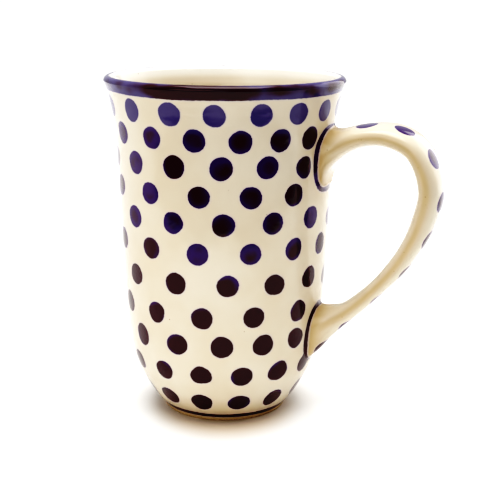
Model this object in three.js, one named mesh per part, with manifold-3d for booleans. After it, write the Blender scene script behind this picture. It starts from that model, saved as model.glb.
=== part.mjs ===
// Polish stoneware mug: a tall flared beaker with a tapering strap handle.
//
// Millimetres, +Z up, the handle on +X. The origin is on the plane the mug
// stands on, under the middle of the whole footprint, handle included, so the
// axis of the body stands a little to -X of it.
//
// Pieces: the jiggered body, the cast strap handle, and the two pads of slip
// that join the handle's ends to the wall.

import * as THREE from "three";
import { mergeVertices } from "three/addons/utils/BufferGeometryUtils.js";
import Module from "manifold-3d";

// ---------------------------------------------------------------- dimensions

const HEIGHT = 126; // standing plane to the top of the lip
const RIM_RADIUS = 44.3; // widest point of the flared lip
const WALL = 4.2; // wall thickness of the beaker
const FLOOR = 7.0; // height of the inside floor at the axis

const FOOT_OUTER = 23.4; // foot ring, at the standing plane
const FOOT_INNER = 20.4;
const FOOT_RECESS = 2.4; // depth of the hollow inside the foot ring

const HANDLE_REACH = 82.3; // body axis to the outermost point of the strap
const STRAP_WIDTH_TOP = 21.8;
const STRAP_WIDTH_BOTTOM = 13.6;

const SLIP = 1.0; // thickness of the joining slip
const GAP = 0.3; // clearance between neighbouring solids

const AROUND = 64; // facets round the body
const WALL_STEPS = 16; // steps up the wall
const SECTION_SIDES = 20; // facets round the strap
const STEPS_PER_SECTION = 3; // stations along the strap, between its sections

const BODY_AXIS_X = (RIM_RADIUS - HANDLE_REACH) / 2;

// ------------------------------------------------------------------- helpers

const wasm = await Module();
wasm.setup();

function toSolid(geometry) {
  const bare = geometry.clone();
  bare.deleteAttribute("normal");
  bare.deleteAttribute("uv");
  const merged = mergeVertices(bare, 1e-4);
  return new wasm.Manifold(
    new wasm.Mesh({
      numProp: 3,
      vertProperties: new Float32Array(merged.attributes.position.array),
      triVerts: new Uint32Array(merged.index.array),
    }),
  );
}

function toGeometry(solid) {
  const mesh = solid.getMesh();
  const geometry = new THREE.BufferGeometry();
  geometry.setAttribute("position", new THREE.BufferAttribute(mesh.vertProperties, 3));
  geometry.setIndex(new THREE.BufferAttribute(mesh.triVerts, 1));
  geometry.computeVertexNormals();
  return geometry;
}

// A closed solid of revolution about +Z from [radius, height] points that start
// and end on the axis.
function revolve(outline) {
  const points = outline.map(([radius, height]) => new THREE.Vector2(radius, height));
  return new THREE.LatheGeometry(points, AROUND).rotateX(Math.PI / 2);
}

// Points of a rounded corner: an arc about a centre, angles in degrees.
function arc(centreR, centreZ, radius, from, to, steps) {
  const points = [];
  for (let i = 0; i <= steps; i += 1) {
    const angle = THREE.MathUtils.degToRad(from + ((to - from) * i) / steps);
    points.push([centreR + radius * Math.cos(angle), centreZ + radius * Math.sin(angle)]);
  }
  return points;
}

// ---------------------------------------------------------------------- body

// The outside of the wall, foot to lip: a round heel, a long and almost
// straight wall that widens slowly, and a lip that turns out.
const WALL_POINTS = [
  [24.4, 2.2],
  [27.4, 6.0],
  [31.4, 13.0],
  [34.8, 22.0],
  [36.8, 36.0],
  [38.3, 58.0],
  [39.5, 82.0],
  [40.3, 104.0],
  [42.5, 118.0],
  [RIM_RADIUS, 124.4],
];

const wallCurve = new THREE.CatmullRomCurve3(
  WALL_POINTS.map(([radius, height]) => new THREE.Vector3(radius, 0, height)),
  false,
  "centripetal",
);

function wallOutline(steps, offset) {
  return wallCurve.getPoints(steps).map((point, i) => {
    const along = wallCurve.getTangent(i / steps);
    return [point.x + offset * along.z, point.z - offset * along.x];
  });
}

function makeBody() {
  const outside = wallOutline(WALL_STEPS, 0);
  const lipRadius = WALL / 2 - 0.2;
  const lip = arc(RIM_RADIUS - lipRadius, HEIGHT - lipRadius, lipRadius, 20, 165, 5);
  const inside = wallOutline(WALL_STEPS, -WALL)
    .filter(([, height]) => height > 26 && height < 120)
    .reverse();
  const insideHeel = arc(16.2, FLOOR + 14.3, 14, 0, -80, 5);
  const outline = [
    [0, FOOT_RECESS],
    [FOOT_INNER - 1.6, FOOT_RECESS - 0.2],
    [FOOT_INNER - 0.4, 0.5],
    [FOOT_INNER, 0],
    [FOOT_OUTER - 0.4, 0],
    [FOOT_OUTER, 0.5],
    ...outside,
    ...lip,
    ...inside,
    ...insideHeel,
    [8, FLOOR + 0.1],
    [0, FLOOR],
  ];
  return revolve(outline);
}

// -------------------------------------------------------------------- handle

// The strap's sections from the upper joint round to the lower, starting and
// ending inside the wall: the edge facing away from the finger gap and the
// edge facing it, each as [distance from the body axis, height], then half the
// width. The ends open out like trumpets where they meet the wall.
const TOP = STRAP_WIDTH_TOP / 2;
const BOTTOM = STRAP_WIDTH_BOTTOM / 2;
const STRAP_SECTIONS = [
  [[34.0, 111.2], [33.6, 82.0], TOP + 0.3],
  [[40.2, 109.6], [39.4, 86.6], TOP - 0.5],
  [[44.0, 108.7], [42.0, 94.6], TOP - 0.8],
  [[51.7, 110.4], [53.2, 102.6], TOP - 0.4],
  [[64.8, 111.2], [62.3, 103.2], TOP],
  [[75.6, 105.4], [69.6, 99.6], TOP - 0.4],
  [[HANDLE_REACH, 90.4], [73.6, 90.0], TOP - 0.9],
  [[79.8, 76.0], [71.8, 78.8], TOP - 1.8],
  [[72.3, 61.6], [66.1, 65.4], BOTTOM + 1.4],
  [[61.2, 48.8], [56.8, 53.0], BOTTOM + 0.5],
  [[50.2, 37.8], [46.6, 44.3], BOTTOM],
  [[43.8, 31.6], [41.8, 42.8], BOTTOM],
  [[39.4, 26.4], [38.4, 42.7], BOTTOM + 0.3],
  [[35.6, 22.4], [35.8, 43.2], BOTTOM + 1.2],
  [[31.0, 19.0], [31.0, 44.5], BOTTOM + 1.8],
];

const upright = ([radius, height]) => new THREE.Vector3(radius, 0, height);
const smooth = (points) => new THREE.CatmullRomCurve3(points, false, "centripetal");
const outerEdge = smooth(STRAP_SECTIONS.map(([outer]) => upright(outer)));
const innerEdge = smooth(STRAP_SECTIONS.map(([, inner]) => upright(inner)));
const halfWidth = smooth(STRAP_SECTIONS.map(([, , half], i) => new THREE.Vector3(i, half, 0)));

const ROUNDNESS = 2.4; // of the section: 2 is an ellipse, more is squarer
const rounded = (x) => Math.sign(x) * Math.abs(x) ** (2 / ROUNDNESS);

function makeHandleBlank() {
  const steps = STEPS_PER_SECTION * (STRAP_SECTIONS.length - 1);
  const positions = [];
  const indices = [];
  for (let i = 0; i <= steps; i += 1) {
    const outer = outerEdge.getPoint(i / steps);
    const inner = innerEdge.getPoint(i / steps);
    const half = halfWidth.getPoint(i / steps).y;
    const centre = outer.clone().add(inner).multiplyScalar(0.5);
    const lift = outer.sub(centre);
    for (let j = 0; j < SECTION_SIDES; j += 1) {
      const angle = (2 * Math.PI * j) / SECTION_SIDES;
      const point = centre.clone().addScaledVector(lift, rounded(Math.sin(angle)));
      positions.push(point.x, half * rounded(Math.cos(angle)), point.z);
    }
  }
  const ring = (i, j) => i * SECTION_SIDES + (j % SECTION_SIDES);
  for (let i = 0; i < steps; i += 1) {
    for (let j = 0; j < SECTION_SIDES; j += 1) {
      const [a, b, c, d] = [ring(i, j), ring(i, j + 1), ring(i + 1, j + 1), ring(i + 1, j)];
      indices.push(a, b, c, a, c, d);
    }
  }
  for (let j = 1; j < SECTION_SIDES - 1; j += 1) {
    indices.push(ring(0, 0), ring(0, j + 1), ring(0, j));
    indices.push(ring(steps, 0), ring(steps, j), ring(steps, j + 1));
  }
  const geometry = new THREE.BufferGeometry();
  geometry.setAttribute("position", new THREE.Float32BufferAttribute(positions, 3));
  geometry.setIndex(indices);
  return geometry;
}

// Everything within an offset of the outside of the wall, as one solid.
function wallSolid(offset) {
  const outline = wallOutline(WALL_STEPS, offset).filter(([, height]) => height > 5 && height < 120);
  const [[, low], [, high]] = [outline[0], outline[outline.length - 1]];
  return toSolid(revolve([[0, low], ...outline, [0, high]]));
}

function makeHandle(blank) {
  return toGeometry(toSolid(blank).subtract(wallSolid(GAP + SLIP + GAP)));
}

// A pad of slip is the slice of the handle blank next to the wall, in one half
// of the mug's height.
function makeSlipPad(blank, low, high) {
  const slice = new THREE.BoxGeometry(60, 60, high - low).translate(45, 0, (low + high) / 2);
  const slab = wallSolid(GAP + SLIP).subtract(wallSolid(GAP)).intersect(toSolid(slice));
  return toGeometry(toSolid(blank).intersect(slab));
}

// ------------------------------------------------------------------ assembly

const glaze = () =>
  new THREE.MeshStandardMaterial({ color: 0xeadfc6, roughness: 0.12, metalness: 0 });
const slip = () =>
  new THREE.MeshStandardMaterial({ color: 0xd9cbaa, roughness: 0.3, metalness: 0 });

function piece(name, geometry, material) {
  const mesh = new THREE.Mesh(geometry, material);
  mesh.name = name;
  return mesh;
}

const blank = makeHandleBlank();
const middle = HEIGHT / 2;

const mug = new THREE.Group();
mug.add(piece("body", makeBody(), glaze()));
mug.add(piece("handle", makeHandle(blank), glaze()));
mug.add(piece("upper_joint_slip", makeSlipPad(blank, middle, HEIGHT), slip()));
mug.add(piece("lower_joint_slip", makeSlipPad(blank, 0, middle), slip()));
mug.position.x = BODY_AXIS_X;

export default mug;
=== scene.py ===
"""The looks of a tall stoneware mug: clear glaze over cream clay, stamped cobalt dots, a cobalt lip band
and brushed cobalt lines round the handle's joints and above the foot."""
import math

import bpy
import numpy as np
from mathutils import Matrix, Vector


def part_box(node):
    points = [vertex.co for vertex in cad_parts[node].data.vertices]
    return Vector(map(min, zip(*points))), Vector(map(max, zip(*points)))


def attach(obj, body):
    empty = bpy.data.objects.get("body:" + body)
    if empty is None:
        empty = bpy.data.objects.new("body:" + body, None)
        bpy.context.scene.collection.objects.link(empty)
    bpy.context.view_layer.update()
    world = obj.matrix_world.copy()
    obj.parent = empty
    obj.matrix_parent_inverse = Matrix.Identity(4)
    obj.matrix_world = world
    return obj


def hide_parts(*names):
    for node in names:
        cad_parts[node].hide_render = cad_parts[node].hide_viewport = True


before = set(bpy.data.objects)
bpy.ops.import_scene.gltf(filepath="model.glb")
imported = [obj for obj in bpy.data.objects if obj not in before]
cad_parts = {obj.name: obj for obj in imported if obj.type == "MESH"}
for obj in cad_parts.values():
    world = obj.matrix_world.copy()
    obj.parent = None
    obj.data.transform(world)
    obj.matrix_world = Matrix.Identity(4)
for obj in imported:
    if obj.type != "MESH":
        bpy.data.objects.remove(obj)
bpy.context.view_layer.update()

MM = 0.001  # the shape below is worked out in millimetres about the body's axis
body_low, body_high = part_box("body")
AXIS_X = (body_low.x + body_high.x) / 2 / MM
HEIGHT = 126.0
RIM_RADIUS = 44.3
WALL = 4.2
FLOOR = 7.0
FOOT_OUTER = 23.4
FOOT_INNER = 20.4
FOOT_RECESS = 2.4
HEEL = 14.0  # radius of the round corner between the inside wall and the inside floor
HANDLE_REACH = 82.3

AROUND = 288  # faces round the body
rng = np.random.default_rng(7)


# ------------------------------------------------------------------ curves and meshes

def smooth_curve(points, steps):
    """A centripetal Catmull-Rom curve through the points, with some steps between each pair."""
    points = np.asarray(points, float)
    padded = np.vstack([2 * points[0] - points[1], points, 2 * points[-1] - points[-2]])
    out = []
    for p0, p1, p2, p3 in zip(padded, padded[1:], padded[2:], padded[3:]):
        d0, d1, d2 = (np.sqrt(np.linalg.norm(b - a)) for a, b in ((p0, p1), (p1, p2), (p2, p3)))
        m1 = ((p1 - p0) / d0 - (p2 - p0) / (d0 + d1) + (p2 - p1) / d1) * d1
        m2 = ((p2 - p1) / d1 - (p3 - p1) / (d1 + d2) + (p3 - p2) / d2) * d1
        t = np.linspace(0, 1, steps, endpoint=False)[:, None]
        out.append(p1 + m1 * t + (3 * (p2 - p1) - 2 * m1 - m2) * t**2 + (2 * (p1 - p2) + m1 + m2) * t**3)
    return np.vstack(out + [points[-1:]])


def arc(centre_r, centre_z, radius, start, end, steps):
    """Points of an arc in the profile's plane, from one angle to another in degrees."""
    angle = np.radians(np.linspace(start, end, steps + 1))
    return np.stack([centre_r + radius * np.cos(angle), centre_z + radius * np.sin(angle)], 1)


def grid_faces(rows, columns, closed_rows=False):
    """Quads of a tube of rows, each a closed ring of columns."""
    last = rows if closed_rows else rows - 1
    i, j = np.meshgrid(np.arange(last), np.arange(columns), indexing="ij")
    i2, j2 = (i + 1) % rows, (j + 1) % columns
    corners = [i * columns + j, i * columns + j2, i2 * columns + j2, i2 * columns + j]
    return np.stack(corners, -1).reshape(-1, 4)


def make_piece(name, points, faces, layers, material):
    """A smooth mesh object from points in millimetres about the body's axis, with one number per point
    for each named layer."""
    points = np.asarray(points, float).copy()
    points[:, 0] += AXIS_X
    mesh = bpy.data.meshes.new(name)
    mesh.from_pydata((points * MM).tolist(), [], [list(map(int, face)) for face in faces])
    mesh.validate()
    for layer, values in layers.items():
        data = mesh.attributes.new(layer, "FLOAT", "POINT").data
        data.foreach_set("value", np.asarray(values, np.float32))
    mesh.shade_smooth()
    mesh.materials.append(material)
    piece = bpy.data.objects.new(name, mesh)
    bpy.context.collection.objects.link(piece)
    return piece


# ------------------------------------------------------------------ shape of the body

WALL_POINTS = [
    (24.4, 2.2), (27.4, 6.0), (31.4, 13.0), (34.8, 22.0), (36.8, 36.0), (38.3, 58.0),
    (39.5, 82.0), (40.3, 104.0), (42.5, 118.0), (RIM_RADIUS, 124.4),
]
INNER_WALL_LOW = 26
INNER_WALL_HIGH = 120
RECESS_POINTS = 4
FOOT_SIDE_POINTS = 8  # up the outside of the foot ring
wall_curve = smooth_curve(WALL_POINTS, 18)


def wall_radius(height):
    """Radius of the outside at a height."""
    return np.interp(height, wall_curve[:, 1], wall_curve[:, 0])


def wall_slope(height):
    """How fast the outside widens with height."""
    return (wall_radius(height + 0.25) - wall_radius(height - 0.25)) / 0.5


def inner_wall():
    """The inside's profile from the lip down to the heel, one wall's thickness in."""
    along = np.gradient(wall_curve, axis=0)
    along /= np.linalg.norm(along, axis=1)[:, None]
    inside = wall_curve - WALL * np.stack([along[:, 1], -along[:, 0]], 1)
    keep = (inside[:, 1] > INNER_WALL_LOW) & (inside[:, 1] < INNER_WALL_HIGH)
    return inside[keep][::-2]


def unevenness(angle, height):
    """How far the hand-finished clay stands off a true surface of revolution."""
    slow = 0.10 * np.sin(2 * angle + 0.6 + height / 70) + 0.06 * np.sin(3 * angle + 2.1 - height / 45)
    rings = 0.006 * np.sin(height * 1.9 + 0.8 * np.sin(angle)) * np.sin(height / 17 + 1.0)
    return slow + rings


def body_outline():
    """Foot to lip to inside floor. Returns the outline and where the wall, lip and inside start."""
    lip_radius = WALL / 2 - 0.2
    foot = np.vstack([
        [[3.0, FOOT_RECESS + 0.5], [8.0, FOOT_RECESS + 0.4], [13.0, FOOT_RECESS + 0.2],
         [17.0, FOOT_RECESS]],
        arc(FOOT_INNER - 2.0, FOOT_RECESS - 1.5, 1.5, 80, 5, 6),
        arc(FOOT_INNER + 0.5, 0.5, 0.5, 185, 270, 4),
        [[21.2, 0.0], [22.2, 0.0]],
        arc(FOOT_OUTER - 0.6, 0.6, 0.6, -85, 0, 5),
        [[FOOT_OUTER + 0.25, 1.15], [FOOT_OUTER + 0.6, 1.7]],
    ])
    lip = arc(RIM_RADIUS - lip_radius, HEIGHT - lip_radius, lip_radius, 12, 172, 26)
    heel = arc(HEEL + 2.2, FLOOR + HEEL + 0.3, HEEL, 0, -84, 18)
    floor = [[14.5, FLOOR + 0.28], [11.0, FLOOR + 0.2], [7.0, FLOOR + 0.1], [3.0, FLOOR]]
    parts = [foot, wall_curve, lip, inner_wall(), heel, floor]
    starts = np.cumsum([0] + [len(part) for part in parts])
    return np.vstack(parts), starts


# ------------------------------------------------------------------ shape of the handle

TOP = 10.9
BOTTOM = 6.8
STRAP_SECTIONS = [  # edge away from the finger gap, edge facing it, half width
    ((34.0, 111.2), (33.6, 82.0), TOP + 0.3),
    ((40.2, 109.6), (39.4, 86.6), TOP - 0.5),
    ((44.0, 108.7), (42.0, 94.6), TOP - 0.8),
    ((51.7, 110.4), (53.2, 102.6), TOP - 0.4),
    ((64.8, 111.2), (62.3, 103.2), TOP),
    ((75.6, 105.4), (69.6, 99.6), TOP - 0.4),
    ((HANDLE_REACH, 90.4), (73.6, 90.0), TOP - 0.9),
    ((79.8, 76.0), (71.8, 78.8), TOP - 1.8),
    ((72.3, 61.6), (66.1, 65.4), BOTTOM + 1.4),
    ((61.2, 48.8), (56.8, 53.0), BOTTOM + 0.5),
    ((50.2, 37.8), (46.6, 44.3), BOTTOM),
    ((43.8, 31.6), (41.8, 42.8), BOTTOM),
    ((39.4, 26.4), (38.4, 42.7), BOTTOM + 0.3),
    ((35.6, 22.4), (35.8, 43.2), BOTTOM + 1.2),
    ((31.0, 19.0), (31.0, 44.5), BOTTOM + 1.8),
]
ROUNDNESS = 2.4
SIDES = 96  # points round the strap
SPAN_STEPS = 24
TYPICAL_WIDTH = 10.0  # half width and half depth that the points round the section are spaced for
TYPICAL_DEPTH = 4.0
outer_edge = smooth_curve([section[0] for section in STRAP_SECTIONS], SPAN_STEPS)
inner_edge = smooth_curve([section[1] for section in STRAP_SECTIONS], SPAN_STEPS)
half_width = smooth_curve([(i, section[2]) for i, section in enumerate(STRAP_SECTIONS)], SPAN_STEPS)[:, 1]


def rounded(x):
    """A sine or cosine, swollen so that the section is squarer than an ellipse."""
    return np.sign(x) * np.abs(x) ** (2 / ROUNDNESS)


def strap_point(station, angle, lift=0.0):
    """Points of the strap's surface. Station counts steps along it, and angle goes round the section from
    the near side (-Y) over the outer face."""
    steps = np.arange(len(half_width))
    at = [np.interp(station, steps, column) for column in (*outer_edge.T, *inner_edge.T, half_width)]
    outer, inner, half = np.stack(at[:2], -1), np.stack(at[2:4], -1), at[4]
    middle, rise = (outer + inner) / 2, (outer - inner) / 2
    length = np.linalg.norm(rise, axis=-1)
    grow = (1 + lift / length)[..., None]
    plane = middle + rise * grow * rounded(np.sin(angle))[..., None]
    return np.stack([plane[..., 0], -(half + lift) * rounded(np.cos(angle)), plane[..., 1]], -1)


def outside_wall(points):
    """How far points stand off the outside of the body."""
    return np.hypot(points[..., 0], points[..., 1]) - wall_radius(points[..., 2])


def section_angles():
    """Angles round the section, spaced evenly along its outline."""
    fine = np.linspace(0, 2 * math.pi, 2001)
    outline = np.stack([TYPICAL_WIDTH * rounded(np.cos(fine)), TYPICAL_DEPTH * rounded(np.sin(fine))], 1)
    way = np.concatenate([[0], np.cumsum(np.linalg.norm(np.diff(outline, axis=0), axis=1))])
    return np.interp(np.arange(SIDES) / SIDES * way[-1], way, fine)


def crossing(at_top):
    """The station at which each line along the strap comes out of the wall."""
    stations = np.arange(0, 4 * SPAN_STEPS, 0.25)
    if not at_top:
        stations = len(half_width) - 1 - stations
    gap = outside_wall(strap_point(stations[:, None] + 0 * angles, 0 * stations[:, None] + angles))
    first = (gap > 0).argmax(axis=0)
    column = np.arange(len(angles))
    before, after = gap[first - 1, column], gap[first, column]
    share = before / (before - after)
    return stations[first - 1] * (1 - share) + stations[first] * share


angles = section_angles()
top_station, bottom_station = crossing(True), crossing(False)


BRUSH_OFF_JOINT = 0.2
BRUSH_HALF_WIDTH = 0.86
BRUSH_CLEARANCE = 2.2


class Joint:
    """The closed line where an end of the strap comes out of the wall, with the directions there."""

    def __init__(self, stations, outward):
        self.line = strap_point(stations, angles)
        radial = self.line * [1, 1, 0]
        radial /= np.linalg.norm(radial, axis=1)[:, None]
        self.off_wall = radial - wall_slope(self.line[:, 2])[:, None] * np.array([0, 0, 1])
        self.off_wall /= np.linalg.norm(self.off_wall, axis=1)[:, None]
        along = np.roll(self.line, -1, 0) - np.roll(self.line, 1, 0)
        away = np.cross(self.off_wall, along)
        away /= np.linalg.norm(away, axis=1)[:, None]
        middle = self.line.mean(0)
        sign = np.sign(np.sum(away * (self.line - middle), axis=1).sum())
        self.over_wall = away * sign
        self.middle = middle
        self.stations, self.outward = stations, outward

    def brush_line(self):
        """Points of the painted line, four to each point of the joint, and its half width there."""
        spot = self.line + BRUSH_OFF_JOINT * self.over_wall
        count = len(spot)
        place = np.arange(0, count, 0.25)
        ring = np.vstack([spot, spot[:1]])
        points = np.stack([np.interp(place, np.arange(count + 1), column) for column in ring.T], 1)
        turn = 2 * math.pi * place / count
        waver = 0.14 * np.sin(turn + 2.6) + 0.10 * np.sin(3 * turn + 0.4) + 0.05 * np.sin(7 * turn)
        return points, BRUSH_HALF_WIDTH + waver

    def holds(self, points):
        """Whether points of the wall lie under the strap or its painted line."""
        reach = np.abs(self.line - self.middle).max(0) + BRUSH_CLEARANCE
        off = (points - self.middle) / reach
        return np.hypot(off[..., 1], off[..., 2]) < 1.0


upper_joint, lower_joint = Joint(top_station, 1), Joint(bottom_station, -1)


# ------------------------------------------------------------------ decoration

DOT_RADIUS = 4.03
DOT_BOX = 9  # half the side of the cube round a dot in which its distance is worked out
CLEAR_OF_JOINT = 6.3  # from a dot's centre to the line where the strap meets the wall
MOST_MOVED = 1.5  # a dot that would have to move further for that stays where it is
DOT_ROWS = [  # height, how many, angle of the first, how unevenly spaced and where they crowd
    (116.0, 17, 4.5, 0.14, 20),
    (107.1, 16, 20.5, 0.16, 0),
    (97.7, 16, 13.0, 0.14, 40),
    (87.8, 14, 13.0, 0.16, 20),
    (78.2, 14, 6.5, 0.04, 60),
    (67.8, 14, 15.5, 0.12, 40),
    (56.0, 14, 2.0, 0.16, 40),
    (44.2, 13, 4.5, 0.04, 160),
    (33.3, 14, 24.0, 0.16, 0),
    (21.4, 15, 10.0, 0.08, 40),
    (9.4, 13, 27.0, 0.04, 260),
]
ROW_SAGS = [  # rows between two heights sag beside the handle: angle and width of the dip, and its depth
    (45, 82, 0.14, 0.20, 2.6),
    (95, 100, -0.32, 0.15, 1.8),
]
FRONT_ANGLE = math.radians(-68)  # the middle of the side that was stamped first
STAGGER_REACH = 19.0
STAGGER_ROUNDS = 120
STAGGER_PUSH = 1.2
HANDLE_DOTS = 9
HANDLE_DOT_START = 20.5  # along the strap's outer edge
HANDLE_DOT_PITCH = 14.9
HANDLE_DOT_ASIDE = 3.5
BAND_LOW = 121.2
FOOT_LINE = 2.6
FOOT_LINE_WIDTH = 2.3
BARE_TOP = 1.45
UNPAINTED = 30.0  # distance given to points with no paint near
JOINT_BOX = 28  # half the side of the cube round a joint in which its painted line is worked out
CREASE_SHADE_BOX = 32
CREASE_SHADE_FADE = 6.0
BRUSHED_TONE = 0.8
FOOT_LINE_TONE = 0.7
MIDDLE_TONE = 0.5


class Stamp:
    """One dot: its centre, its own slightly uneven outline and how much pigment it took."""

    def __init__(self, centre, normal, radius):
        self.centre = np.asarray(centre, float)
        side = np.cross([0, 0, 1.0], normal)
        if np.linalg.norm(side) < 0.1:
            side = np.array([0, 1.0, 0])
        self.side = side / np.linalg.norm(side)
        self.rise = np.cross(normal, self.side)
        self.rise /= np.linalg.norm(self.rise)
        self.radius = radius * (1 + rng.normal(0, 0.02))
        self.waves = [(n, rng.normal(0, size), rng.uniform(0, 2 * math.pi))
                      for n, size in ((2, 0.026), (3, 0.016), (5, 0.009))]
        self.tone = rng.uniform(0, 1)

    def distance(self, points):
        """How far points lie outside the dot's outline, negative inside it."""
        off = points - self.centre
        way = np.arctan2(off @ self.rise, off @ self.side)
        edge = 1 + sum(size * np.sin(n * way + start) for n, size, start in self.waves)
        return np.linalg.norm(off, axis=-1) - self.radius * edge


def dot_places():
    """Angle and height of every dot of the rows round the body."""
    places = []
    for height, count, first, uneven, crowd in DOT_ROWS:
        for turn in range(count):
            even = math.radians(first + 360 * turn / count)
            angle = even - uneven * math.sin(even - math.radians(crowd)) + rng.normal(0, 0.004)
            sag = sum(depth * math.exp(-(math.remainder(angle - middle, 2 * math.pi) / width) ** 2)
                      for low, high, middle, width, depth in ROW_SAGS if low < height < high)
            places.append((angle, height - sag + rng.normal(0, 0.2)))
    return np.array(places)


def staggered(places):
    """The same dots, with those on the side away from the stamper's first ones eased sideways until each
    keeps as clear of its neighbours as it can."""
    angle, height = places.T.copy()
    free = np.clip((-np.cos(angle - FRONT_ANGLE) - 0.05) / 0.25, 0, 1)
    radius = wall_radius(height)
    for _ in range(STAGGER_ROUNDS):
        turn = (angle[:, None] - angle[None] + math.pi) % (2 * math.pi) - math.pi
        across, up = turn * radius[:, None], height[:, None] - height[None]
        gap = np.hypot(across, up) + 1e-6
        push = np.clip(1 - gap / STAGGER_REACH, 0, 1) * across / gap
        angle += STAGGER_PUSH * free * push.sum(1) / radius
    return np.stack([angle, height], 1)


def body_stamps():
    """The dots round the body, without those that the handle covers."""
    stamps = []
    for angle, z in staggered(dot_places()):
        radius = wall_radius(z)
        centre = np.array([radius * math.cos(angle), radius * math.sin(angle), z])
        short = CLEAR_OF_JOINT - np.linalg.norm(upper_joint.line - centre, axis=1).min()
        if 0 < short < MOST_MOVED:
            angle += math.copysign(short / radius, math.sin(angle))
            centre[:2] = radius * math.cos(angle), radius * math.sin(angle)
        normal = np.array([math.cos(angle), math.sin(angle), -wall_slope(z)])
        stamp = Stamp(centre, normal, DOT_RADIUS)
        if centre[0] > 0 and (upper_joint.holds(centre) or lower_joint.holds(centre)):
            continue
        stamps.append(stamp)
    return stamps


def handle_stamps():
    """The dots along the outside of the strap."""
    steps = np.arange(len(half_width))
    way = np.concatenate([[0], np.cumsum(np.linalg.norm(np.diff(outer_edge, axis=0), axis=1))])
    stamps = []
    for number in range(HANDLE_DOTS):
        place = HANDLE_DOT_START + HANDLE_DOT_PITCH * number + rng.normal(0, 0.4)
        station = np.interp(place, way, steps)
        half = np.interp(station, steps, half_width)
        aside = HANDLE_DOT_ASIDE * (half / TOP) ** 2
        angle = math.acos((aside / half) ** (ROUNDNESS / 2))
        here, ahead = strap_point(np.array([station, station + 0.5]), np.array([angle, angle]))
        along = ahead - here
        normal = np.cross(along, [0, 1.0, 0])
        normal /= np.linalg.norm(normal)
        stamps.append(Stamp(here, normal, DOT_RADIUS * 0.97))
    return stamps


def decorate(points, stamps, joints):
    """Signed distance in millimetres to the nearest cobalt, negative inside it, and that mark's tone."""
    paint = np.full(len(points), UNPAINTED)
    tone = np.full(len(points), MIDDLE_TONE)
    for stamp in stamps:
        near = np.flatnonzero(np.abs(points - stamp.centre).max(1) < DOT_BOX)
        gap = stamp.distance(points[near])
        closer = gap < paint[near]
        paint[near[closer]] = gap[closer]
        tone[near[closer]] = stamp.tone
    for joint in joints:
        line, half = joint.brush_line()
        near = np.flatnonzero((np.abs(points - joint.middle).max(1) < JOINT_BOX) & (points[:, 0] > 0))
        gap = np.linalg.norm(points[near, None] - line[None], axis=2)
        nearest = gap.argmin(1)
        gap = gap[np.arange(len(near)), nearest] - half[nearest]
        closer = gap < paint[near]
        paint[near[closer]] = gap[closer]
        tone[near[closer]] = BRUSHED_TONE
    return paint, tone


def nearness(points):
    """1 in the crease between wall and strap, fading to 0 some way from it: where shade is painted."""
    gap = np.full(len(points), UNPAINTED)
    for joint in (upper_joint, lower_joint):
        near = np.flatnonzero((np.abs(points - joint.middle).max(1) < CREASE_SHADE_BOX) & (points[:, 0] > 0))
        to_line = np.linalg.norm(points[near, None] - joint.line[None], axis=2).min(1)
        gap[near] = np.minimum(gap[near], to_line)
    return np.exp(-((gap / CREASE_SHADE_FADE) ** 2))


# ------------------------------------------------------------------ pieces

OUTSIDE_LIP_ROWS = 8
INSIDE_SHADE_AND_LIGHT = ((118.3, 121.3), (1.3, -1.0))  # inside: heights, and the painted shading at each, shade above 0 and light below


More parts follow.
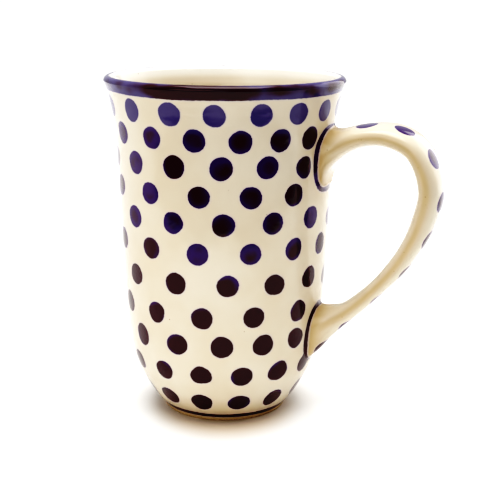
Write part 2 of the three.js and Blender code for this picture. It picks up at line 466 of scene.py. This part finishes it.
def make_body(material):
    """The beaker. Its layers say where the cobalt and bare clay are, and where shade and light are
    painted."""
    outline, starts = body_outline()
    wall_start, lip_start, inside_start = starts[1], starts[2], starts[3]
    way = np.concatenate([[0], np.cumsum(np.linalg.norm(np.diff(outline, axis=0), axis=1))])
    turn = np.arange(AROUND) * 2 * math.pi / AROUND
    radius, height = (np.repeat(column[:, None], AROUND, 1) for column in outline.T)
    angle = np.repeat(turn[None], len(outline), 0)
    firm = np.clip((height - 3) / 20, 0, 1) * np.clip(radius / 30, 0, 1) ** 2
    radius = radius + firm * unevenness(angle, height)
    grid = np.stack([radius * np.cos(angle), radius * np.sin(angle), height], -1)
    points = grid.reshape(-1, 3)

    paint = np.full(grid.shape[:2], UNPAINTED)
    tone = np.full(grid.shape[:2], MIDDLE_TONE)
    outside = slice(wall_start, lip_start + OUTSIDE_LIP_ROWS)
    found = decorate(grid[outside].reshape(-1, 3), body_stamps(), (upper_joint, lower_joint))
    paint[outside], tone[outside] = (values.reshape(-1, AROUND) for values in found)

    row_way = way[:, None]
    band_start = np.interp(BAND_LOW, outline[wall_start:lip_start, 1], way[wall_start:lip_start])
    lip_crest = way[lip_start + outline[lip_start:inside_start, 1].argmax()]
    wander = 0.16 * np.sin(2 * turn + 1.0) + 0.10 * np.sin(5 * turn + 0.3) + 0.05 * np.sin(13 * turn)
    ragged = 0.12 * np.sin(9 * turn + 2.0) + 0.10 * np.sin(17 * turn) + 0.06 * np.sin(41 * turn + 1.0)
    band = np.maximum(band_start + wander - row_way, row_way - lip_crest - 0.1 - ragged)
    foot_and_wall = slice(wall_start - FOOT_SIDE_POINTS, lip_start)
    line_middle = np.interp(FOOT_LINE, outline[foot_and_wall, 1], way[foot_and_wall])
    thick = FOOT_LINE_WIDTH / 2 + 0.08 * np.sin(3 * turn + 2.2) + 0.05 * np.sin(11 * turn)
    foot_line = np.abs(row_way - line_middle - 0.08 * np.sin(2 * turn)) - thick
    # painted reflection: the lip band turns paler and bluer towards the two sides seen edge-on from the
    # camera
    band_tone_with_reflection = 0.50 + 0.55 * np.cos(2 * turn + 2.4) + 0.10 * np.sin(5 * turn + 2.0)
    for mark, mark_tone in ((band, band_tone_with_reflection), (foot_line, FOOT_LINE_TONE)):
        tone = np.where(mark < paint, mark_tone, tone)
        paint = np.minimum(paint, mark)

    bare_start = way[RECESS_POINTS + 1]
    bare_end = np.interp(BARE_TOP, outline[foot_and_wall, 1], way[foot_and_wall])
    bare = np.maximum(bare_start - row_way, row_way - bare_end) + 0 * angle
    rows = len(outline)
    faces = grid_faces(rows, AROUND).tolist()
    centre_low, centre_high = len(points), len(points) + 1
    points = np.vstack([points, [[0, 0, outline[0, 1]], [0, 0, outline[-1, 1]]]])
    last = (rows - 1) * AROUND
    for j in range(AROUND):
        k = (j + 1) % AROUND
        faces.append([centre_low, k, j])
        faces.append([centre_high, last + j, last + k])
    layers = {
        "paint": np.append(paint.ravel(), [UNPAINTED] * 2),
        "tone": np.append(tone.ravel(), [MIDDLE_TONE] * 2),
        "bare": np.append(bare.ravel(), [UNPAINTED] * 2),
        # painted shade in the creases round the joints outside; inside, painted shade low down and painted
        # light near the lip
        "painted_shading": np.where(outside_wall(points) > -WALL / 2, nearness(points),
                         np.interp(points[:, 2], *INSIDE_SHADE_AND_LIGHT)),
    }
    return make_piece("glazed_body", points, faces, layers, material)


HANDLE_ROWS = 230
SUNK = 5.0  # steps that each end goes on inside the wall
SIDE_SHADE = 0.7  # painted shade on the strap's two narrow sides, as a share of that painted in the creases
SIDE_SHADE_FADE = 0.34


def make_handle(material):
    """The strap, from inside the wall at its upper end to inside the wall at its lower end."""
    share = np.linspace(0, 1, HANDLE_ROWS)[:, None]
    station = (top_station - SUNK) * (1 - share) + (bottom_station + SUNK) * share
    angle = np.repeat(angles[None], HANDLE_ROWS, 0)
    swell = 0.07 * np.sin(station / 11.0 + 1.0) + 0.05 * np.sin(station / 4.7 + 2 * angle)
    points = strap_point(station, angle, swell).reshape(-1, 3)
    faces = grid_faces(HANDLE_ROWS, SIDES)[:, ::-1].tolist()
    ends = points.reshape(HANDLE_ROWS, SIDES, 3)[[0, -1]].mean(1)
    start, finish = len(points), len(points) + 1
    points = np.vstack([points, ends])
    last = (HANDLE_ROWS - 1) * SIDES
    for j in range(SIDES):
        k = (j + 1) % SIDES
        faces.append([start, j, k])
        faces.append([finish, last + k, last + j])
    paint, tone = decorate(points, handle_stamps(), (upper_joint, lower_joint))
    # painted shade: honey along the strap's two narrow sides, and in the creases near the joints
    side = np.append(np.exp(-(((np.sin(angle) + 0.05) / SIDE_SHADE_FADE) ** 2)).ravel(), [0, 0])
    layers = {"paint": paint, "tone": tone, "bare": np.full(len(points), UNPAINTED),
              "painted_shading": np.maximum(nearness(points), SIDE_SHADE * side)}
    return make_piece("glazed_handle", points, faces, layers, material)


FILLET_ON_WALL = 1.2
FILLET_ON_STRAP = 1.5
FILLET_STEPS = 8
FILLET_UNDER = 0.06  # how far the fillet's two edges go under the wall's and the strap's surface


def make_slip(name, joint, material):
    """The sponged bead of slip in the crease: a closed ring with a hollow face."""
    ahead = joint.stations + joint.outward
    beside = strap_point(ahead, angles) - joint.line
    beside /= np.linalg.norm(beside, axis=1)[:, None]
    turn = 2 * math.pi * np.arange(SIDES) / SIDES
    fat = (1 + 0.12 * np.sin(3 * turn + 1) + 0.08 * np.sin(8 * turn))[:, None]
    on_wall = joint.line + FILLET_ON_WALL * fat * joint.over_wall
    foot = np.hypot(on_wall[:, 0], on_wall[:, 1])
    on_wall[:, :2] *= ((wall_radius(on_wall[:, 2]) - FILLET_UNDER) / foot)[:, None]
    on_strap = joint.line + FILLET_ON_STRAP * fat * beside
    inward = joint.middle - joint.line
    inward -= np.sum(inward * beside, axis=1)[:, None] * beside
    inward /= np.linalg.norm(inward, axis=1)[:, None]
    on_strap += FILLET_UNDER * inward
    pull = joint.line + 0.25 * fat * (joint.over_wall + beside)
    share = np.linspace(0, 1, FILLET_STEPS)[:, None, None]
    curve = (1 - share) ** 2 * on_wall + 2 * share * (1 - share) * pull + share**2 * on_strap
    deep = joint.line - 0.8 * joint.off_wall + 0.5 * inward
    ring = np.concatenate([curve, (on_strap + 0.5 * inward)[None], deep[None],
                           (on_wall - 0.5 * joint.off_wall)[None]])
    points = ring.transpose(1, 0, 2).reshape(-1, 3)
    faces = grid_faces(SIDES, len(ring), closed_rows=True)
    if joint.outward > 0:
        faces = faces[:, ::-1]
    paint, tone = decorate(points, [], (joint,))
    # painted shade: honey in the crease round the joint
    layers = {"paint": paint, "tone": tone, "bare": np.full(len(points), UNPAINTED),
              "painted_shading": nearness(points)}
    return make_piece(name, points, faces.tolist(), layers, material)


# ------------------------------------------------------------------ materials

CREAM = (0.63, 0.555, 0.43)
CREAM_PALE = (0.67, 0.61, 0.50)
PAINTED_LIGHT_CREAM = (0.84, 0.81, 0.73)
HONEY = (0.43, 0.30, 0.13)
IRON = (0.22, 0.11, 0.04)
COBALT_BLACK = (0.050, 0.013, 0.020)
COBALT_NAVY = (0.054, 0.020, 0.112)
COBALT_BLUE = (0.092, 0.072, 0.175)
COBALT_BLEED = (0.52, 0.47, 0.58)
BARE_CLAY = (0.50, 0.36, 0.21)
BARE_CLAY_DARK = (0.20, 0.11, 0.05)
FLARE_LOW = (0.109, 0.113)  # heights in metres between which the wall turns out into the lip
FLARE_HIGH = (0.1200, 0.1206)
HONEY_AT_FOOT = (0.0022, 0.013)
GLAZE_IOR = 1.42
GLAZE_ROUGHNESS = (0.055, 0.105)  # where the glaze is smoothest and where it is most matt
CLAY_ROUGHNESS = 0.82
RELIEF = 0.00007
BODY_SHADE_TINT = 0.25  # how strongly painted shade is tinted honey on each piece
STRAP_SHADE_TINT = 0.9
SLIP_SHADE_TINT = 0.7


class Graph:
    """A material's node tree, built by short calls that return output sockets."""

    def __init__(self, name):
        self.material = bpy.data.materials.new(name)
        self.material.use_nodes = True
        self.tree = self.material.node_tree
        self.surface = self.tree.nodes["Principled BSDF"]
        self.where = self.add("ShaderNodeTexCoord").outputs["Object"]

    def add(self, kind, *inputs, **settings):
        made = self.tree.nodes.new(kind)
        for key, value in settings.items():
            setattr(made, key, value)
        for socket, value in zip(made.inputs, inputs):
            self.plug(socket, value)
        return made

    def plug(self, socket, value):
        if value is None:
            return
        if isinstance(value, bpy.types.NodeSocket):
            self.tree.links.new(value, socket)
        elif isinstance(value, tuple) and len(value) == 3 and socket.type == "RGBA":
            socket.default_value = (*value, 1)
        else:
            socket.default_value = value

    def layer(self, name):
        return self.add("ShaderNodeAttribute", attribute_name=name).outputs["Fac"]

    def math(self, operation, a, b=None, c=None):
        return self.add("ShaderNodeMath", a, b, c, operation=operation).outputs[0]

    def noise(self, scale, detail=2.0, rough=0.5):
        made = self.add("ShaderNodeTexNoise", self.where)
        for key, value in (("Scale", scale), ("Detail", detail), ("Roughness", rough)):
            made.inputs[key].default_value = value
        return made.outputs["Fac"]

    def spots(self, scale, full, none, strength):
        """Round spots, one to a cell: full strength out to one share of the cell and none past another."""
        cells = self.add("ShaderNodeTexVoronoi", self.where)
        cells.inputs["Scale"].default_value = scale
        return self.span(cells.outputs["Distance"], full, none, strength, 0.0)

    def span(self, value, low, high, to_low=0.0, to_high=1.0):
        """A smooth step from to_low at low to to_high at high."""
        made = self.add("ShaderNodeMapRange", value, low, high, to_low, to_high,
                        interpolation_type="SMOOTHSTEP")
        return made.outputs[0]

    def mix(self, share, a, b):
        """A number between a and b."""
        return self.add("ShaderNodeMix", share, None, a, b, data_type="FLOAT").outputs[0]

    def blend(self, share, a, b):
        made = self.add("ShaderNodeMix", data_type="RGBA")
        self.plug(made.inputs["Factor"], share)
        self.plug(made.inputs[6], a)
        self.plug(made.inputs[7], b)
        return made.outputs[2]


def glazed_clay(name, shade_tint):
    """Clear gloss glaze over cream clay, with cobalt under it and bare clay where the glaze was wiped."""
    g = Graph(name)
    paint, tone, bare, painted_shading = (g.layer(layer) for layer in ("paint", "tone", "bare", "painted_shading"))
    height = g.add("ShaderNodeSeparateXYZ", g.where).outputs[2]

    # cream ground: soft clouds, honey tone near the foot, painted shade in honey, painted light in pale
    # cream, iron specks
    cloud = g.span(g.noise(34, 3, 0.55), 0.30, 0.70)
    ground = g.blend(cloud, CREAM, CREAM_PALE)
    ground = g.blend(g.span(height, *HONEY_AT_FOOT, 0.42, 0.0), ground, HONEY)
    # painted shade: honey in the creases round the joints, along the strap's narrow sides and deep inside
    # the cup
    ground = g.blend(g.math("MULTIPLY", painted_shading, shade_tint), ground, HONEY)
    # painted light: pale cream on the inside of the lip and the top of the inside wall
    ground = g.blend(g.span(painted_shading, -1.0, -0.1, 1.0, 0.0), ground, PAINTED_LIGHT_CREAM)
    ground = g.blend(g.spots(130, 0.018, 0.036, 0.7), ground, IRON)
    grain = g.math("MULTIPLY", g.spots(620, 0.10, 0.20, 0.5), g.span(g.noise(90, 2), 0.50, 0.62))
    # iron grain kept to where the painted shade is strong
    grain = g.math("MULTIPLY", grain, g.span(painted_shading, 0.40, 0.65))
    ground = g.blend(grain, ground, IRON)

    # cobalt: uneven edge, faint bleed into the glaze, blue where thin and near black where thick, with
    # painted reflection high up
    rough_edge = g.math("MULTIPLY_ADD", g.noise(650, 2, 0.6), 0.34, -0.17)
    fine_edge = g.math("MULTIPLY_ADD", g.noise(2600, 1), 0.14, -0.07)
    edge = g.math("ADD", g.math("ADD", paint, rough_edge), fine_edge)
    cobalt = g.span(edge, -0.13, 0.13, 1.0, 0.0)
    bleed = g.span(edge, 0.0, 0.75, 0.34, 0.0)
    # painted reflection: above the turn of the lip the pigment is bluer, and in the flare it is thinner
    # and paler
    reflection_above_flare = g.span(height, *FLARE_LOW)
    reflection_in_flare = g.math("MULTIPLY", reflection_above_flare, g.span(height, *FLARE_HIGH, 1.0, 0.0))
    even = g.math("MULTIPLY_ADD", reflection_in_flare, -0.45, 0.75)
    thick = g.math("MULTIPLY_ADD", g.noise(125, 1, 0.4), even, g.math("MULTIPLY", tone, 0.30))
    # painted reflection: dots paler higher up the wall, near black below 40 mm
    thick = g.math("ADD", thick, g.span(height, 0.040, 0.085, 0.30, 0.02))
    thick = g.math("ADD", thick, g.span(paint, -2.6, 0.1, 0.08, -0.12))
    thick = g.math("MULTIPLY_ADD", reflection_in_flare, -0.05, thick)
    dark = g.span(thick, 0.42, 0.72)
    navy = g.blend(reflection_above_flare, COBALT_NAVY, COBALT_BLUE)
    pigment = g.blend(dark, navy, COBALT_BLACK)
    colour = g.blend(bleed, ground, COBALT_BLEED)
    colour = g.blend(cobalt, colour, pigment)

    # bare clay on the foot ring
    bare_edge = g.math("ADD", bare, g.math("MULTIPLY_ADD", g.noise(500, 2), 0.5, -0.25))
    bare_share = g.span(bare_edge, -0.12, 0.12, 1.0, 0.0)
    gritty = g.span(g.noise(1500, 3, 0.7), 0.35, 0.65)
    # painted shade: gritty darkening of the bare clay, strongest along its lowest millimetre where the
    # foot meets the floor
    grit_and_contact_shade = g.span(height, 0.0, 0.0010, 1.0, 0.15)
    clay = g.blend(g.math("MULTIPLY", grit_and_contact_shade, gritty), BARE_CLAY, BARE_CLAY_DARK)
    colour = g.blend(bare_share, colour, clay)
    g.plug(g.surface.inputs["Base Color"], colour)

    gloss = g.mix(g.noise(420, 2), *GLAZE_ROUGHNESS)
    g.plug(g.surface.inputs["Roughness"], g.mix(bare_share, gloss, CLAY_ROUGHNESS))
    g.surface.inputs["IOR"].default_value = GLAZE_IOR

    # relief: slow waves and fine orange peel in the glaze, pigment a hair proud, gritty bare clay
    peel = g.math("MULTIPLY_ADD", g.noise(900, 2), 0.22, g.noise(230, 2))
    proud = g.math("MULTIPLY_ADD", g.span(paint, -0.5, 0.5, 1.0, 0.0), 0.35, peel)
    grit = g.math("MULTIPLY", g.noise(2200, 3, 0.7), 1.6)
    bump = g.add("ShaderNodeBump")
    bump.inputs["Strength"].default_value = 1.0
    bump.inputs["Distance"].default_value = RELIEF
    g.plug(bump.inputs["Height"], g.mix(bare_share, proud, grit))
    g.plug(g.surface.inputs["Normal"], bump.outputs[0])
    return g.material


# ------------------------------------------------------------------ stage, lights and camera

VIEW_TURN = math.radians(22)
VIEW_DISTANCE = 0.3995
VIEW_HEIGHT = 0.1598
VIEW_PITCH = 0.245  # radians down, to the side and about the line of sight
VIEW_YAW = 0.024
VIEW_ROLL = 0.007
LENS = 77.87
toward_camera = Vector((math.sin(VIEW_TURN), -math.cos(VIEW_TURN), 0))
across_view = Vector((math.cos(VIEW_TURN), math.sin(VIEW_TURN), 0))
mug_axis = Vector((AXIS_X * MM, 0, 0))


def make_camera():
    pitch, yaw, roll = VIEW_PITCH, VIEW_YAW, VIEW_ROLL
    turn = Matrix.Rotation(VIEW_TURN, 3, "Z")
    ahead = turn @ Vector((math.sin(yaw) * math.cos(pitch), math.cos(yaw) * math.cos(pitch),
                           -math.sin(pitch)))
    flat_right = turn @ Vector((math.cos(yaw), -math.sin(yaw), 0))
    flat_up = flat_right.cross(ahead)
    right = math.cos(roll) * flat_right + math.sin(roll) * flat_up
    up = math.cos(roll) * flat_up - math.sin(roll) * flat_right
    camera = bpy.data.objects.new("camera", bpy.data.cameras.new("camera"))
    camera.data.sensor_width = 36
    camera.data.lens = LENS
    camera.data.clip_start = 0.01
    place = mug_axis + toward_camera * VIEW_DISTANCE + Vector((0, 0, VIEW_HEIGHT))
    camera.matrix_world = Matrix.Translation(place) @ Matrix((right, up, -ahead)).transposed().to_4x4()
    bpy.context.collection.objects.link(camera)
    bpy.context.scene.camera = camera


SOFT_LIGHTS = [  # name, metres toward the camera, to its right and up, height lit, size, watts
    ("above", 0.12, 0.0, 0.90, 0.0, (0.7, 0.7), 8.6),
    ("front", 0.70, -0.32, 0.30, 0.03, (0.8, 0.5), 3.1),
    ("right", -0.45, 0.65, 0.25, 0.06, (0.7, 0.8), 3.3),
]


def make_lights():
    for name, toward, aside, up, height_lit, size, watts in SOFT_LIGHTS:
        light = bpy.data.lights.new(name, "AREA")
        light.shape = "RECTANGLE"
        light.size, light.size_y = size
        light.energy = watts
        lamp = bpy.data.objects.new(name, light)
        place = mug_axis + toward_camera * toward + across_view * aside + Vector((0, 0, up))
        target = mug_axis + Vector((0, 0, height_lit))
        lamp.location = place
        lamp.rotation_euler = (target - place).to_track_quat("-Z", "Y").to_euler()
        bpy.context.collection.objects.link(lamp)


ROOM_FRONT = 0.14
ROOM_BESIDE = 1.12
ROOM_BEHIND = 0.7
BACKDROP = 1.05


def make_world():
    """A bright room: white panels beside the mug, a pale wall behind, dim where the mug is seen from, and
    a plain white backdrop."""
    world = bpy.data.worlds.new("room")
    bpy.context.scene.world = world
    world.use_nodes = True
    tree = world.node_tree
    background = tree.nodes["Background"]
    direction = tree.nodes.new("ShaderNodeTexCoord").outputs["Generated"]
    facing = tree.nodes.new("ShaderNodeVectorMath")
    facing.operation = "DOT_PRODUCT"
    facing.inputs[1].default_value = toward_camera
    tree.links.new(direction, facing.inputs[0])
    zones = []
    for low, high, to_low, to_high in ((-0.75, -0.35, ROOM_BEHIND, ROOM_BESIDE),
                                       (0.14, 0.28, 0.0, ROOM_FRONT - ROOM_BESIDE)):
        zone = tree.nodes.new("ShaderNodeMapRange")
        zone.interpolation_type = "SMOOTHSTEP"
        for socket, value in zip(zone.inputs[1:5], (low, high, to_low, to_high)):
            socket.default_value = value
        tree.links.new(facing.outputs["Value"], zone.inputs[0])
        zones.append(zone.outputs[0])
    lit = tree.nodes.new("ShaderNodeMath")
    for socket, zone in zip(lit.inputs, zones):
        tree.links.new(zone, socket)
    seen = tree.nodes.new("ShaderNodeLightPath").outputs["Is Camera Ray"]
    plain = tree.nodes.new("ShaderNodeMix")
    tree.links.new(seen, plain.inputs[0])
    tree.links.new(lit.outputs[0], plain.inputs[2])
    plain.inputs[3].default_value = BACKDROP
    tree.links.new(plain.outputs[0], background.inputs["Strength"])
    background.inputs["Color"].default_value = (1, 1, 1, 1)


PAPER = (0.80, 0.79, 0.77)
PAPER_PALE = (0.83, 0.82, 0.80)
WARM_SHADE = (0.66, 0.52, 0.37)
SHEET_REACH = 1.2
SHEET_FRONT = 0.262  # how far the sheet comes toward the camera on the mug's axis
SHEET_SLANT = 0.42  # how much less it comes for each metre to either side
SHEET_LEAST = 0.10
GLOW = 0.25
FAR_GLOW = 0.5


def make_floor():
    """A sheet of pale paper, with a warm shadow painted round the mug and painted light glowing from it
    further off.
    """
    g = Graph("paper")
    paper = g.blend(g.noise(60, 2), PAPER, PAPER_PALE)
    g.surface.inputs["Roughness"].default_value = 0.7
    g.surface.inputs["Specular IOR Level"].default_value = 0.2
    g.surface.inputs["Emission Color"].default_value = (1, 1, 1, 1)
    shade = g.add("ShaderNodeMapping", g.where, tuple(mug_axis + toward_camera * 0.006),
                  (0, 0, VIEW_TURN), (0.78, 1, 1), vector_type="TEXTURE")
    flat = g.add("ShaderNodeVectorMath", shade.outputs[0], operation="LENGTH").outputs["Value"]
    toward = g.add("ShaderNodeVectorMath", g.where, tuple(toward_camera), operation="DOT_PRODUCT")
    # painted light: the sheet glows from 30 mm out round the mug, and more behind it and far off
    behind = g.span(toward.outputs["Value"], -0.12, -0.40, 0.0, FAR_GLOW)
    away = g.math("MAXIMUM", behind, g.span(flat, 0.45, 0.65, 0.0, FAR_GLOW))
    glow = g.math("ADD", g.span(flat, 0.030, 0.050, 0.0, GLOW), away)
    g.plug(g.surface.inputs["Emission Strength"], glow)
    # painted shadow: warm dark tint within about 22 to 40 mm of the foot, set a little toward the camera
    shaded = g.blend(g.span(flat, 0.022, 0.040, 0.7, 0.0), paper, WARM_SHADE)
    g.plug(g.surface.inputs["Base Color"], shaded)

    rings, sides = 24, 96
    points = [tuple(mug_axis)]
    cut = [False]
    for ring in range(1, rings + 1):
        reach = SHEET_REACH * (ring / rings) ** 2
        for side in range(sides):
            turn = 2 * math.pi * side / sides
            spot = Vector((math.cos(turn), math.sin(turn), 0)) * reach
            front = spot.dot(toward_camera)
            edge = max(SHEET_FRONT - SHEET_SLANT * abs(spot.cross(toward_camera).z), SHEET_LEAST)
            cut.append(front > edge)
            if front > edge:
                spot -= toward_camera * (front - edge)
            points.append(tuple(mug_axis + spot))
    faces = [(0, 1 + side, 1 + (side + 1) % sides) for side in range(sides)]
    for ring in range(rings - 1):
        for side in range(sides):
            here, there = 1 + ring * sides + side, 1 + ring * sides + (side + 1) % sides
            faces.append((here, here + sides, there + sides, there))
    faces = [face for face in faces if not all(cut[corner] for corner in face)]
    mesh = bpy.data.meshes.new("paper_sheet")
    mesh.from_pydata(points, [], faces)
    mesh.materials.append(g.material)
    floor = bpy.data.objects.new("paper_sheet", mesh)
    bpy.context.collection.objects.link(floor)


make_camera()
make_world()
make_floor()
make_lights()

body = make_body(glazed_clay("glazed_stoneware", BODY_SHADE_TINT))
handle = make_handle(glazed_clay("glazed_strap", STRAP_SHADE_TINT))
slip_glaze = glazed_clay("glazed_slip", SLIP_SHADE_TINT)
upper_slip = make_slip("glazed_upper_slip", upper_joint, slip_glaze)
lower_slip = make_slip("glazed_lower_slip", lower_joint, slip_glaze)
for piece, node, slot in ((body, "body", "glazed_body"), (handle, "handle", "glazed_handle"),
                          (upper_slip, "upper_joint_slip", "joint_slip"),
                          (lower_slip, "lower_joint_slip", "joint_slip")):
    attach(piece, "root")
    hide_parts(node)

view = bpy.context.scene.view_settings
view.view_transform = "Standard"
view.look = "None"
view.use_curve_mapping = True
TONE_CURVE = [(0.05, 0.004), (0.10, 0.013), (0.20, 0.09), (0.5, 0.46), (0.8, 0.82)]
for level, shown in TONE_CURVE:
    view.curve_mapping.curves[3].points.new(level, shown)
view.curve_mapping.update()
